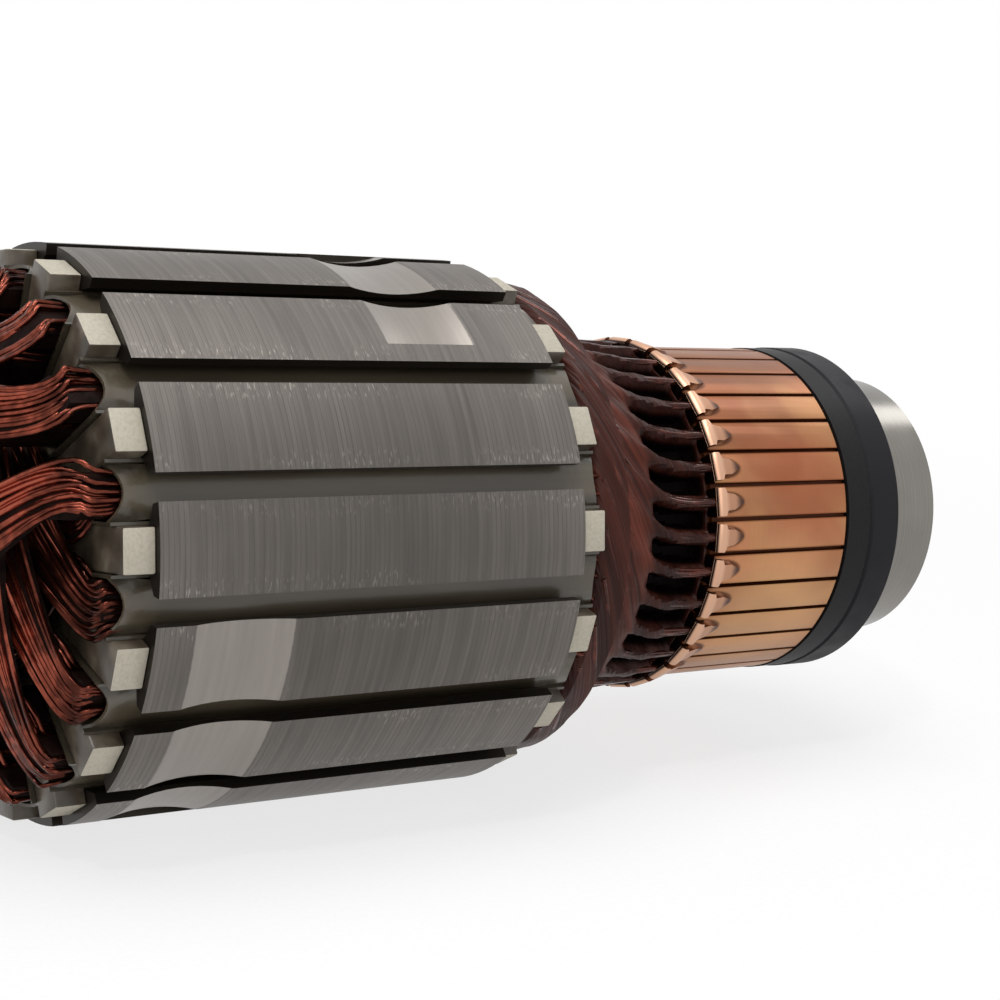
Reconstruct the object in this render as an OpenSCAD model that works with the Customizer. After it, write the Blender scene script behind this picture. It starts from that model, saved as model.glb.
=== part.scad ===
// Wound armature of a universal motor: a slotted laminated core on a stepped shaft, sixteen
// flyer-wound coils, a 32-bar hook commutator and a sealed ball bearing.
// X runs along the shaft, from the drive end (-X) to the commutator end (+X), and the origin is
// the middle of the bearing. Angles in the YZ plane are measured from +Y towards +Z.

/* [Core] */
// Outside diameter of the laminated core
core_d = 54; // [50:0.5:60]
// Length of the core stack
core_len = 44; // [30:0.5:70]
// Width of a tooth's shank
tooth_w = 4; // [3.4:0.1:4.4]
// Width of a slot's mouth between two tooth tips
slot_mouth = 2.46; // [1.6:0.02:3]
// Thickness of a tooth tip at the slot mouth
tip_t = 1.1; // [0.8:0.1:1.4]
// Radial step from the end of the shank to the underside of the tip's edge
tip_slope = 1.2; // [0.8:0.1:1.5]
// Diameter of the circle through the slot bottoms
slot_bottom_d = 28; // [26:0.5:29]
// Depth of a balancing cut in the tooth faces
balance_depth = 0.7; // [0.3:0.1:0.9]
// Radius of the milling cutter that made the balancing cuts
balance_cutter_r = 18; // [12:1:30]
// Distance from the drive end of the core to the middle of the first balancing cut
balance_drive_at = 8.5; // [7:0.5:12]
// Distance from the commutator end of the core to the middle of the second balancing cut
balance_comm_at = 13; // [8:0.5:14]

/* [Insulation] */
// Thickness of the slot liner film
liner_t = 0.3; // [0.2:0.05:0.4]
// How far liners and slot closures stand out of each end of the core
cuff_len = 3.4; // [3.1:0.1:5]
// Thickness of a slot closure strip
closure_t = 0.5; // [0.4:0.05:0.7]
// Thickness of the end insulator's star
star_t = 3; // [2:0.1:3]
// Radial distance from the core's surface down to the ends of the star's arms
star_inset = 0.8; // [0.4:0.1:1.5]
// Wall of the insulating collar round the shaft
collar_wall = 1; // [0.8:0.1:1.2]

/* [Winding] */
// Axial pitch of the coil layers at the drive end
layer_drive = 2; // [1.6:0.05:2.4]
// Axial pitch of the coil layers at the commutator end
layer_comm = 1.2; // [0.9:0.05:1.4]
// Share of its overhang that the drive-end winding keeps at its rim, where it leaves the slots
rim_drive = 0.12; // [0.12:0.01:0.3]
// Share of its overhang that the commutator-end winding keeps at its rim
rim_comm = 0.25; // [0.25:0.01:0.4]
// Greatest half-width of a coil's fan where it passes the shaft
fan_half_w = 3.8; // [2.6:0.1:3.9]
// Free space kept round each coil in its slot
coil_gap = 0.15; // [0.1:0.05:0.2]
// Share of a layer's pitch that its coils fill
layer_fill = 0.68; // [0.5:0.02:0.7]
// Diameter of a lead from the winding to its hook
lead_d = 1; // [0.8:0.05:1.1]
// Angle that a lead sweeps round the winding before it turns to its hook
lead_sweep = 52; // [40:1:60]

/* [Commutator] */
// Diameter of the brush track
track_d = 36.8; // [35:0.2:40]
// Length of a copper bar
bar_len = 18.8; // [15:0.2:26]
// Radial thickness of a bar outside its anchor
bar_t = 2.6; // [2:0.1:3]
// Radial depth of the dovetail anchor below a bar
anchor_t = 2.2; // [1.5:0.1:2.6]
// Width of the undercut slot between two bars
undercut_w = 0.45; // [0.4:0.05:0.9]
// Depth of the undercut slot
undercut_depth = 0.8; // [0.5:0.1:1.5]
// Width of a bar's hook across its flattened tip
hook_w = 2.2; // [1.6:0.1:2.4]
// Width of a hook where it bends up from its bar
hook_root_w = 2.7; // [2.4:0.1:2.8]
// Length of a hook along the shaft
hook_len = 4; // [3.6:0.1:4.5]
// Thickness of the hook's copper
hook_t = 0.5; // [0.4:0.05:0.6]
// Height of the wire space under a hook
hook_room = 0.5; // [0.4:0.05:0.7]
// Width of the moulded ring outboard of the bars
end_ring_w = 3.4; // [2.5:0.1:5]
// Amount by which the end ring stands above the brush track
end_ring_rise = 0.1; // [0:0.05:0.4]
// Wall of the steel bush inside the moulding
bush_wall = 2.2; // [1.5:0.1:3]
// Distance from the core to the commutator bars
neck_len = 23.7; // [22.5:0.1:30]

/* [Dust disc] */
// Outside diameter of the dust disc
disc_d = 37.2; // [32:0.2:42]
// Thickness of the dust disc's rim
disc_t = 4.5; // [3:0.1:6]
// Height of the disc's boss that meets the bearing's inner ring
disc_boss = 0.4; // [0.3:0.1:1]

/* [Bearing] */
// Bore of the bearing
bearing_bore = 10; // [10:1:12]
// Outside diameter of the bearing
bearing_od = 30; // [30:0.5:32]
// Width of the bearing
bearing_w = 9; // [8.5:0.5:10]
// Ball diameter
ball_d = 4.76; // [4.2:0.02:5]
// Thickness of a bearing shield
shield_t = 0.35; // [0.3:0.05:0.4]
// Radial thickness of the ball cage
cage_t = 1.6; // [1.2:0.1:2]

/* [Shaft] */
// Shaft diameter through the core
core_seat_d = 12; // [11:0.5:13]
// Shaft diameter of the fan seat, next to the drive-end winding
fan_seat_d = 11.5; // [11.3:0.1:11.8]
// Shaft diameter through the commutator
comm_seat_d = 11; // [10.5:0.25:11.5]
// Diameter of the drive-end bearing journal
drive_journal_d = 11; // [10:0.1:11.2]
// Length of the drive-end bearing journal
drive_journal_len = 14; // [10:1:20]
// Diameter of the plain drive end
drive_end_d = 9; // [7:0.5:9.5]
// Length of the plain drive end
drive_end_len = 14; // [8:1:25]
// Length of the fan seat, between the winding's collar and the drive journal
fan_seat_len = 16; // [8:1:30]
// Length of the shaft past the bearing
stub_len = 1.5; // [0.5:0.1:4]
// Chamfer on the shaft's ends
shaft_chamfer = 0.6; // [0.3:0.1:1]
// Diameter of the lathe centre holes
centre_d = 2.5; // [1.6:0.1:3]

/* [Hidden] */
$fn = 96;
slot_n = 16;
bar_n = 2 * slot_n;
layer_n = slot_n / 2;
coil_span = layer_n - 1;
slot_step = 360 / slot_n;
bar_step = 360 / bar_n;
ball_n = 8;
fit_gap = 0.05;          // film against steel
run_gap = 0.02;          // ball against raceway
seat_gap = 0.2;          // winding against collar, star and closure
bite = 0.06;             // depth to which a hook's wall stands in its own bar

// Stations along the shaft
brg_x0 = -bearing_w / 2;
brg_x1 = bearing_w / 2;
disc_x1 = brg_x0;
disc_x0 = disc_x1 - disc_boss - disc_t;
ring_x1 = disc_x0;
bar_x1 = ring_x1 - end_ring_w;
bar_x0 = bar_x1 - bar_len;
core_x1 = bar_x0 - neck_len;
core_x0 = core_x1 - core_len;
over_drive = cuff_len + seat_gap + layer_n * layer_drive;
over_comm = cuff_len + seat_gap + layer_n * layer_comm;
collar_x0 = core_x0 - over_drive - 1.5;
collar_x1 = core_x1 + over_comm + 2;
journal_x1 = collar_x0 - fan_seat_len;
journal_x0 = journal_x1 - drive_journal_len;
shaft_x0 = journal_x0 - drive_end_len;
shaft_x1 = brg_x1 + stub_len;

// Radii
core_r = core_d / 2;
seat_r = core_seat_d / 2;
comm_seat_r = comm_seat_d / 2;
bore_r = bearing_bore / 2;
collar_r = seat_r + collar_wall;
slot_r0 = slot_bottom_d / 2;
tip_r = core_r - tip_t;
shank_r = tip_r - tip_slope;
track_r = track_d / 2;
bush_r = comm_seat_r + bush_wall;
mould_x0 = bar_x0 - 1.4;
neck_r = track_r - bar_t / 2;

// The slot: half-width between two parallel-sided shanks, at a distance s from the axis
function slot_half(s) = s * tan(slot_step / 2) - tooth_w / 2 / cos(slot_step / 2);

// Coil legs in a slot: the lower one is wound first, and the upper one lies on it
closure_s1 = shank_r - fit_gap;
closure_s0 = closure_s1 - closure_t;
film = liner_t + 2 * fit_gap + coil_gap;
leg_s0 = slot_r0 + liner_t + 1.3;
leg_s2 = closure_s0 - seat_gap;
leg_s1 = leg_s0 + 0.58 * (leg_s2 - leg_s0);
lower_leg = [leg_s0, leg_s1 - coil_gap / 2];
upper_leg = [leg_s1 + coil_gap / 2, leg_s2];
fan_r = collar_r + seat_gap + fan_half_w;

// Turns a shape so that its plane is YZ and its Z runs along the shaft
module axial() rotate([90, 0, 90]) children();
// A solid of revolution about the shaft from [radius, station] points
module turned(points) axial() rotate_extrude() polygon(points);
// A straight prism along the shaft
module prism(x0, x1) axial() translate([0, 0, x0]) linear_extrude(x1 - x0) children();
module round_the_slots() for (i = [0 : slot_n - 1]) rotate(i * slot_step) children();

// ---- Shaft -------------------------------------------------------------------------------------

module centre_hole() {
    cylinder(h = 5, d = centre_d);
    cylinder(h = centre_d * 0.75, d1 = 2.5 * centre_d, d2 = centre_d);
}

module shaft() color("silver") difference() {
    c = shaft_chamfer;
    turned([
        [0, shaft_x0], [drive_end_d / 2 - c, shaft_x0], [drive_end_d / 2, shaft_x0 + c],
        [drive_end_d / 2, journal_x0], [drive_journal_d / 2 - c / 2, journal_x0],
        [drive_journal_d / 2, journal_x0 + c / 2],
        [drive_journal_d / 2, journal_x1], [fan_seat_d / 2 - c / 2, journal_x1],
        [fan_seat_d / 2, journal_x1 + c / 2], [fan_seat_d / 2, collar_x0], [seat_r, collar_x0],
        [seat_r, collar_x1 + 0.5], [comm_seat_r, collar_x1 + 0.5],
        [comm_seat_r, brg_x0], [bore_r, brg_x0],
        [bore_r, shaft_x1 - c], [bore_r - c, shaft_x1], [0, shaft_x1]]);
    translate([shaft_x0, 0, 0]) rotate([0, 90, 0]) centre_hole();
    translate([shaft_x1, 0, 0]) rotate([0, -90, 0]) centre_hole();
}

// ---- Laminated core ----------------------------------------------------------------------------

module slot_outline() {
    s0 = slot_r0;
    s1 = slot_r0 + 0.6;
    w0 = slot_half(s1) - 0.35;
    w1 = slot_half(s1);
    w2 = slot_half(shank_r);
    m = slot_mouth / 2;
    polygon([[s0, -w0], [s1, -w1], [shank_r, -w2], [tip_r, -m], [core_r + 1, -m],
             [core_r + 1, m], [tip_r, m], [shank_r, w2], [s1, w1], [s0, w0]]);
}

// A shallow scoop milled across the teeth between two angles
module balance_cut(x, a0, a1)
    axial() rotate(a0) rotate_extrude(angle = a1 - a0)
        translate([core_r - balance_depth + balance_cutter_r, x]) circle(balance_cutter_r, $fn = 180);

module lamination_stack() color("dimgray") difference() {
    prism(core_x0, core_x1) difference() {
        circle(core_r);
        circle(seat_r);
        round_the_slots() slot_outline();
    }
    balance_cut(core_x0 + balance_drive_at, 182, 246);
    balance_cut(core_x1 - balance_comm_at, 84, 128);
}

// ---- Insulation --------------------------------------------------------------------------------

// The moulded star on one end of the core, with its collar along the shaft
module end_insulator(x0, x1, collar_end) color("antiquewhite") {
    prism(x0, x1) difference() {
        union() {
            circle(slot_r0 - seat_gap);
            for (i = [0 : slot_n - 1])
                rotate((i + 0.5) * slot_step)
                    translate([0, -tooth_w / 2]) square([core_r - star_inset, tooth_w]);
        }
        circle(seat_r);
    }
    prism(min(x0, collar_end), max(x1, collar_end)) difference() {
        circle(collar_r);
        circle(seat_r);
    }
}

module end_insulator_drive() end_insulator(core_x0 - star_t, core_x0, collar_x0);
module end_insulator_commutator() end_insulator(core_x1, core_x1 + star_t, collar_x1);

// One film, folded to a U that lines a slot and stands out of it at both ends
module liner_film(gap) {
    s0 = slot_r0 + gap;
    s1 = slot_r0 + 0.6;
    s2 = closure_s1;
    w0 = slot_half(s1) - 0.35 - gap / 2;
    w1 = slot_half(s1) - gap;
    w2 = slot_half(s2) - gap;
    polygon([[s0, -w0], [s1, -w1], [s2, -w2], [s2, w2], [s1, w1], [s0, w0]]);
}

module slot_liners() color("darkkhaki")
    prism(core_x0 - cuff_len, core_x1 + cuff_len) round_the_slots() difference() {
        liner_film(fit_gap);
        difference() {
            liner_film(fit_gap + liner_t);
            translate([closure_s1, -core_r]) square([core_r, 2 * core_r]);
        }
        translate([closure_s0, -slot_half(closure_s0) + fit_gap + liner_t])
            square([core_r, 2 * (slot_half(closure_s0) - fit_gap - liner_t)]);
    }

// The strip that closes one slot, crowned like the tooth tips
module slot_closure(i) color("gray")
    prism(core_x0 - cuff_len, core_x1 + cuff_len) rotate(i * slot_step) {
        w = slot_half(closure_s0) - 2 * fit_gap - liner_t;
        polygon([[closure_s0, -w], [closure_s1 - 0.1, -w], [closure_s1, -w + 0.4],
                 [closure_s1, w - 0.4], [closure_s1 - 0.1, w], [closure_s0, w]]);
    }

// ---- Winding -----------------------------------------------------------------------------------
// Two flyers wind coil m and coil m + 8 at the same time, so each of the eight layers holds two
// coils, one on each side of the shaft, and the next layer is turned by one slot. A coil is one
// closed sweep: down a leg, across the drive end, up the other leg and back.

// Section of a coil: eight points, a across it and b through its thickness
SECTION = [[1, -0.5], [1, 0.5], [0.6, 1], [-0.6, 1], [-1, 0.5], [-1, -0.5], [-0.6, -1], [0.6, -1]];
STEPS = 3;               // rings in a bend
ARC_STEPS = 4;           // rings round the shaft
RUN_STEPS = 4;           // lengths of the straight run between them

function dir(a) = [cos(a), sin(a)];
function mix(a, b, t) = a + (b - a) * t;
function smooth(t) = t * t * (3 - 2 * t);
function mid(leg) = (leg[0] + leg[1]) / 2;
function half(leg) = (leg[1] - leg[0]) / 2;
// First leg of a coil in layer k, and its second leg, seven slots on
function first_leg(k) = k < layer_n - 1 ? lower_leg : upper_leg;
function second_leg(k) = k == 0 ? lower_leg : upper_leg;

// The head of the winding is a cone, so its layers get thinner from the shaft out to its rim: this
// is the share of the overhang that is left at a radius
function kept(r, rim) = mix(1, rim, max(0, min(1, (r - fan_r) / (leg_s2 - fan_r))));

// A point at a depth past the core: side is -1 at the drive end and +1 at the commutator end
function place(p, depth, side) =
    let (share = kept(norm(p), side < 0 ? rim_drive : rim_comm), rise = max(0, depth - cuff_len))
    [(side < 0 ? core_x0 : core_x1) + side * (min(depth, cuff_len) + rise * share), p[0], p[1]];

// A leg's ring at a depth, turn is +1 or -1 as the coil lies ahead of or behind the slot
function leg_ring(angle, leg, turn, depth, side) =
    [for (c = SECTION)
        let (s = mid(leg) + half(leg) * c[1], w = slot_half(s) - film)
        place(dir(angle) * s + dir(angle + 90) * turn * c[0] * w, depth, side)];

// Where a leg bends over: reach is the bend's centre, and lean the angle to where it meets the fan
function reach(leg) = leg[0] - seat_gap;
function lean(leg) = acos(fan_r / reach(leg));

function bend_ring(t, angle, leg, turn, depth, thick, side) =
    let (q = dir(angle) * reach(leg), across = angle + turn * mix(90, lean(leg), t))
    [for (c = SECTION)
        let (s = mid(leg) + half(leg) * c[1],
             w = mix(slot_half(s) - film, fan_half_w * 0.5, smooth(t)))
        place(q + dir(across) * c[0] * w
                + dir(across - turn * 90) * cos(90 * t) * (seat_gap + half(leg) * (1 + c[1])),
              depth + sin(90 * t) * (seat_gap + thick * (1 + c[1])), side)];

// A ring of the fan at a point, with its outer edge towards an angle
function fan_ring(p, across, w, depth, thick, side) =
    [for (c = SECTION) place(p + dir(across) * c[0] * w, depth + seat_gap + thick * (1 + c[1]), side)];

// The end turn of coil m, from its first leg to its second
function end_turn(m, side) =
    let (k = m % layer_n,
         pitch = side < 0 ? layer_drive : layer_comm,
         depth = cuff_len + k * pitch,
         thick = pitch * layer_fill / 2,
         a = m * slot_step, b = a + coil_span * slot_step,
         la = first_leg(k), lb = second_leg(k),
         ta = a + lean(la), tb = b - lean(lb),
         qa = dir(a) * reach(la), qb = dir(b) * reach(lb),
         w_end = fan_half_w * 0.5, w_tan = fan_half_w * 0.92)
    concat(
        k == 0 ? [] : [leg_ring(a, la, 1, cuff_len, side)],
        [for (i = [0 : STEPS]) bend_ring(i / STEPS, a, la, 1, depth, thick, side)],
        [for (i = [1 : RUN_STEPS - 1])
            let (t = i / RUN_STEPS)
            fan_ring(mix(qa, dir(ta) * fan_r, t), ta, mix(w_end, w_tan, t), depth, thick, side)],
        [for (i = [0 : ARC_STEPS])
            let (t = i / ARC_STEPS, c = mix(ta, tb, t))
            fan_ring(dir(c) * fan_r, c, mix(w_tan, fan_half_w, sin(180 * t)), depth, thick, side)],
        [for (i = [RUN_STEPS - 1 : -1 : 1])
            let (t = i / RUN_STEPS)
            fan_ring(mix(qb, dir(tb) * fan_r, t), tb, mix(w_end, w_tan, t), depth, thick, side)],
        [for (i = [STEPS : -1 : 0]) bend_ring(i / STEPS, b, lb, -1, depth, thick, side)],
        k == 0 ? [] : [leg_ring(b, lb, -1, cuff_len, side)]);

function reversed(list) = [for (i = [len(list) - 1 : -1 : 0]) list[i]];

// Skin over a chain of rings, closed on itself or capped at both ends
module skin_over(rings, loop) {
    n = len(rings[0]);
    m = len(rings);
    polyhedron(
        points = [for (r = rings) each r],
        faces = concat(
            [for (i = [0 : m - (loop ? 1 : 2)], k = [0 : n - 1])
                let (j = (i + 1) % m, l = (k + 1) % n)
                each [[i * n + k, j * n + k, j * n + l], [i * n + k, j * n + l, i * n + l]]],
            loop ? [] : [[for (k = [0 : n - 1]) k], [for (k = [n - 1 : -1 : 0]) (m - 1) * n + k]]));
}

module coil(m) color("saddlebrown")
    skin_over(concat(end_turn(m, -1), reversed(end_turn(m, 1))), true);

// A lead: it leaves the rim of the winding, sweeps round its cone and runs to the back of its hook
lead_r = lead_d / 2;

// Radius of the cone at a depth past the core, at the commutator end
function head_r(depth) =
    let (share = (depth - cuff_len) / (over_comm - cuff_len))
    min(leg_s2, fan_r + (leg_s2 - fan_r) * (1 - share) / (1 - rim_comm));

function lead_point(x, r, a) = [x, r * cos(a), r * sin(a)];

// Centre of each ring of the lead to the bar at an angle
function lead_path(a) =
    let (x_end = bar_x0 - hook_t + bite - fit_gap, r_end = track_r + 0.2,
         x_cone = core_x1 + over_comm - 0.6)
    concat(
        [for (i = [0 : 4])
            let (t = i / 4, depth = mix(cuff_len + 0.8, over_comm - 0.6, t))
            lead_point(core_x1 + depth, max(track_r + 0.45, head_r(depth - 1.2) + lead_r + seat_gap),
                       a - 10 - lead_sweep * (1 - t))],
        [lead_point(mix(x_cone, x_end, 0.5), track_r + 0.4, a - 2.5),
         lead_point(x_end - 1, r_end, a),
         lead_point(x_end, r_end, a)]);

function unit(v) = v / norm(v);

function lead_rings(path) =
    [for (i = [0 : len(path) - 1])
        let (p = path[i],
             along = unit(path[min(i + 1, len(path) - 1)] - path[max(i - 1, 0)]),
             across = unit(cross([0, p[1], p[2]], along)), up = cross(along, across))
        [for (j = [0 : 5]) p + lead_r * (across * cos(60 * j) + up * sin(60 * j))]];

module lead_wires() color("sienna")
    for (i = [0 : bar_n - 1]) skin_over(lead_rings(lead_path((i + 0.5) * bar_step)), false);

// ---- Commutator --------------------------------------------------------------------------------

// The bars' ring before it is slotted: a brush track on a dovetail anchor
module bar_ring() {
    base = track_r - bar_t;
    root = base - anchor_t;
    turned([
        [track_r, bar_x0], [track_r, bar_x1 - 0.4], [track_r - 0.4, bar_x1], [base, bar_x1],
        [base, bar_x1 - 4], [root, bar_x1 - 3], [root, bar_x0 + 3], [base, bar_x0 + 4], [base, bar_x0]]);
}

module bar_slots(x0, x1, r0)
    prism(x0, x1) for (i = [0 : bar_n - 1])
        rotate(i * bar_step) translate([r0, -undercut_w / 2]) square([track_r + 2 - r0, undercut_w]);

module bars() difference() {
    bar_ring();
    bar_slots(bar_x0 - 1, bar_x1 + 1, track_r - bar_t - anchor_t - 1);
}

// One hook, bent up from the bar's end and pressed back over its wire to a pointed tip. Its outline
// from the side lies in the XZ plane, and its outline from above in the XY plane.
module hook() {
    z0 = track_r - 1.2;
    z1 = track_r + hook_room;
    z2 = z1 + hook_t;
    x0 = bar_x0 - hook_t + bite;
    x1 = x0 + hook_len;
    foot = track_r - 0.2;
    intersection() {
        rotate([90, 0, 0]) linear_extrude(2 * hook_root_w, center = true) difference() {
            union() {
                translate([x0 + hook_t + 0.2, z2 - hook_t - 0.2]) circle(hook_t + 0.2, $fn = 48);
                translate([x0, z0]) square([hook_t + 0.3, z1 - z0]);
                polygon([[x0 + hook_t, z1], [x0 + hook_t + 0.3, z2], [x1, track_r + 0.2], [x1, foot],
                         [x0 + hook_t + 1.3, foot], [x0 + hook_t + 0.8, z1]]);
            }
            translate([x0 + hook_t, foot]) square([0.8, z1 - foot]);
        }
        linear_extrude(z2 + 1) polygon([
            [x0 - 1, -hook_root_w / 2], [x0 + 0.9, -hook_root_w / 2], [x0 + 1.2, -hook_w / 2],
            [x1 - 1.6, -hook_w / 2], [x1, -0.2], [x1, 0.2], [x1 - 1.6, hook_w / 2],
            [x0 + 1.2, hook_w / 2], [x0 + 0.9, hook_root_w / 2], [x0 - 1, hook_root_w / 2]]);
    }
}

module commutator_bars() color("peru") {
    bars();
    for (i = [0 : bar_n - 1]) rotate([(i + 0.5) * bar_step - 90, 0, 0]) hook();
}

// Black moulding: it holds the anchors, fills the slots to the undercut and ends in two rings
module commutator_moulding() color("#1c1c1d") difference() {
    web_r = track_r - undercut_depth;
    ring_r = track_r + end_ring_rise;
    turned([
        [bush_r, mould_x0], [neck_r - 0.8, mould_x0], [neck_r, mould_x0 + 0.8], [neck_r, bar_x0],
        [web_r, bar_x0], [web_r, bar_x1], [ring_r, bar_x1],
        [ring_r, ring_x1 - 0.2], [ring_r - 0.2, ring_x1], [bush_r, ring_x1]]);
    bars();
}

module commutator_bush() color("darkgray")
    turned([
        [comm_seat_r, mould_x0 - 0.5], [bush_r, mould_x0 - 0.5], [bush_r, ring_x1], [comm_seat_r, ring_x1]]);

module dust_disc() color("#303033") {
    r = disc_d / 2;
    boss_r = comm_seat_r + 1.5;
    turned([
        [comm_seat_r, disc_x0], [r - 0.3, disc_x0], [r, disc_x0 + 0.3], [r, disc_x1 - disc_boss - 0.5],
        [r - 0.5, disc_x1 - disc_boss], [boss_r, disc_x1 - disc_boss], [boss_r, disc_x1],
        [comm_seat_r, disc_x1]]);
}

// ---- Bearing -----------------------------------------------------------------------------------

pitch_r = (bearing_od + bearing_bore) / 4 + 0.1;
ball_r = ball_d / 2;
groove_r = ball_r * 1.03;
land_out = pitch_r + ball_r * 0.72;
land_in = pitch_r - ball_r * 0.8;
brg_r = bearing_od / 2;
shield_r = land_out + 0.6;
brg_edge = 0.6;

module bearing_outer_ring() color("gainsboro") difference() {
    turned([
        [brg_r - brg_edge, brg_x0], [brg_r, brg_x0 + brg_edge], [brg_r, brg_x1 - brg_edge],
        [brg_r - brg_edge, brg_x1], [shield_r, brg_x1], [shield_r, brg_x1 - 2 * shield_t],
        [land_out, brg_x1 - 2 * shield_t], [land_out, brg_x0 + 2 * shield_t],
        [shield_r, brg_x0 + 2 * shield_t], [shield_r, brg_x0]]);
    axial() rotate_extrude()
        translate([pitch_r + ball_r + run_gap - groove_r, 0]) circle(groove_r, $fn = 60);
}

module bearing_inner_ring() color("gainsboro") difference() {
    turned([
        [bore_r, brg_x0 + 0.3], [bore_r + 0.3, brg_x0], [land_in, brg_x0],
        [land_in, brg_x1], [bore_r + 0.3, brg_x1], [bore_r, brg_x1 - 0.3]]);
    axial() rotate_extrude()
        translate([pitch_r - ball_r - run_gap + groove_r, 0]) circle(groove_r, $fn = 60);
}

module at_the_balls() for (i = [0 : ball_n - 1])
    rotate([i * 360 / ball_n, 0, 0]) translate([0, pitch_r, 0]) children();

module bearing_balls() color("white") at_the_balls() sphere(ball_r, $fn = 48);

// Solid cage: a ring with a round pocket drilled through it for each ball
module bearing_cage() color("burlywood") difference() {
    edge = ball_r + 0.9;
    turned([
        [pitch_r - cage_t / 2, -edge], [pitch_r + cage_t / 2, -edge],
        [pitch_r + cage_t / 2, edge], [pitch_r - cage_t / 2, edge]]);
    at_the_balls() rotate([90, 0, 0]) cylinder(h = 3 * cage_t, r = ball_r + 0.06, center = true);
}

module shield(x) color("lightgray")
    turned([[land_in + 0.15, x], [shield_r, x], [shield_r, x + shield_t], [land_in + 0.15, x + shield_t]]);

module bearing_shield_inner() shield(brg_x0 + shield_t * 0.8);
module bearing_shield_outer() shield(brg_x1 - shield_t * 1.8);

// ---- Assembly ----------------------------------------------------------------------------------

shaft();
lamination_stack();
end_insulator_drive();
end_insulator_commutator();
slot_liners();
for (i = [1 : slot_n]) {
    number = str(i < 10 ? "0" : "", i);
    slot_closure(i - 1);
    coil(i - 1);
}
lead_wires();
commutator_bars();
commutator_moulding();
commutator_bush();
dust_disc();
bearing_inner_ring();
bearing_outer_ring();
bearing_balls();
bearing_cage();
bearing_shield_inner();
bearing_shield_outer();
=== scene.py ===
"""Wound armature of a universal motor, dressed for rendering.

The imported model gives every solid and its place. This add-on gives the solids their finishes, and
lays the enamelled wire, the leads, the varnish and the slot film over them.
"""

import math
import random
from functools import partial

import bmesh
import bpy
from mathutils import Matrix, Vector


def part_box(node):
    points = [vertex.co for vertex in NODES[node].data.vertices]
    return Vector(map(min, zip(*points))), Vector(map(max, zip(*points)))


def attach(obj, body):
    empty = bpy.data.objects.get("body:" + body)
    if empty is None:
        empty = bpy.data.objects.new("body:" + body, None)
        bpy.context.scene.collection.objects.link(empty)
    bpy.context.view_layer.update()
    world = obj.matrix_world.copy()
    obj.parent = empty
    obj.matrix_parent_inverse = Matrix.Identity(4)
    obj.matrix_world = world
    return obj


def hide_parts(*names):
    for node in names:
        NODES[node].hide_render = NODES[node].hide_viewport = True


bl_info = {
    "name": "Wound armature",
    "version": (1, 0, 0),
    "blender": (4, 5, 0),
    "location": "View3D > Sidebar > Armature",
    "description": "Dresses a universal motor's armature: core, winding, commutator and bearing",
    "category": "Add Mesh",
}

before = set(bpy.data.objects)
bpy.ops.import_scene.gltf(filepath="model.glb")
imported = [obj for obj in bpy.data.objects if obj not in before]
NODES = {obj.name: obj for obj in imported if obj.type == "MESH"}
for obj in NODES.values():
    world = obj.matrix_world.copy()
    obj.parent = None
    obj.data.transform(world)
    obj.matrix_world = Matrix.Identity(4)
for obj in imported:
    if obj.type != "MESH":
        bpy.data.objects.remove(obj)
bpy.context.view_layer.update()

MM = 0.001
SLOTS = 16
BARS = 32
SLOT_STEP = math.tau / SLOTS
BAR_STEP = math.tau / BARS
SHEET = 0.5 * MM
FILM_T = 0.3 * MM
BAND_T = 0.3 * MM
# Points nearer to each other than this are one, and edges that turn more than this are sharp
WELD = 0.002 * MM
SHARP_DEG = 35.0
# Seeds of the random draws
FILM_SEED, COIL_SEED, LEAD_SEED = 40, 100, 7


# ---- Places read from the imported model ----


def outer_radius(node):
    """Largest distance of a node from the shaft's axis."""
    return max(math.hypot(v.co.y, v.co.z) for v in NODES[node].data.vertices)


CORE_X0, CORE_X1 = (corner.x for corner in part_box("lamination_stack"))
CORE_MIDDLE = (CORE_X0 + CORE_X1) / 2
CORE_R = outer_radius("lamination_stack")
BLOCK_R = outer_radius("end_insulator_drive")
CLOSURE_X0, CLOSURE_X1 = (corner.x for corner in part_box("slot_closure_01"))
CLOSURE_HALF_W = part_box("slot_closure_01")[1].z
CLOSURE_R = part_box("slot_closure_01")[1].y
BAR_X0, BAR_X1 = (corner.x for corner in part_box("commutator_bars"))
TRACK_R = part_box("commutator_moulding")[1].z - 0.1 * MM
MOULD_X0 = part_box("commutator_moulding")[0].x
LEAD_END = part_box("lead_wires")[1].x

# The winding's plan, as the solids have it
TOOTH_W = 4.0 * MM
CUFF = 3.4 * MM
SEAT_GAP = 0.2 * MM
LEG_SIDE_GAP = 0.55 * MM
LOWER_LEG = (15.6 * MM, 20.36 * MM)
UPPER_LEG = (20.51 * MM, 23.95 * MM)
FAN_R = 11.0 * MM
FAN_HALF_W = 3.8 * MM
# A coil's half-width where its bend and its straight run end, as shares of the fan's
BEND_SHARE = 0.5
RUN_SHARE = 0.92
LAYERS = SLOTS // 2
LAYER_FILL = 0.68
# Each end of the core: its side, its station, the pitch of the layers, the share of their height
# that is left at the rim, and the rows of single wires laid over each coil
ENDS = {
    "drive": {"side": -1, "x": CORE_X0, "pitch": 2.0 * MM, "rim": 0.12, "rows": 3},
    "commutator": {"side": 1, "x": CORE_X1, "pitch": 1.2 * MM, "rim": 0.25, "rows": 2},
}
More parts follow.
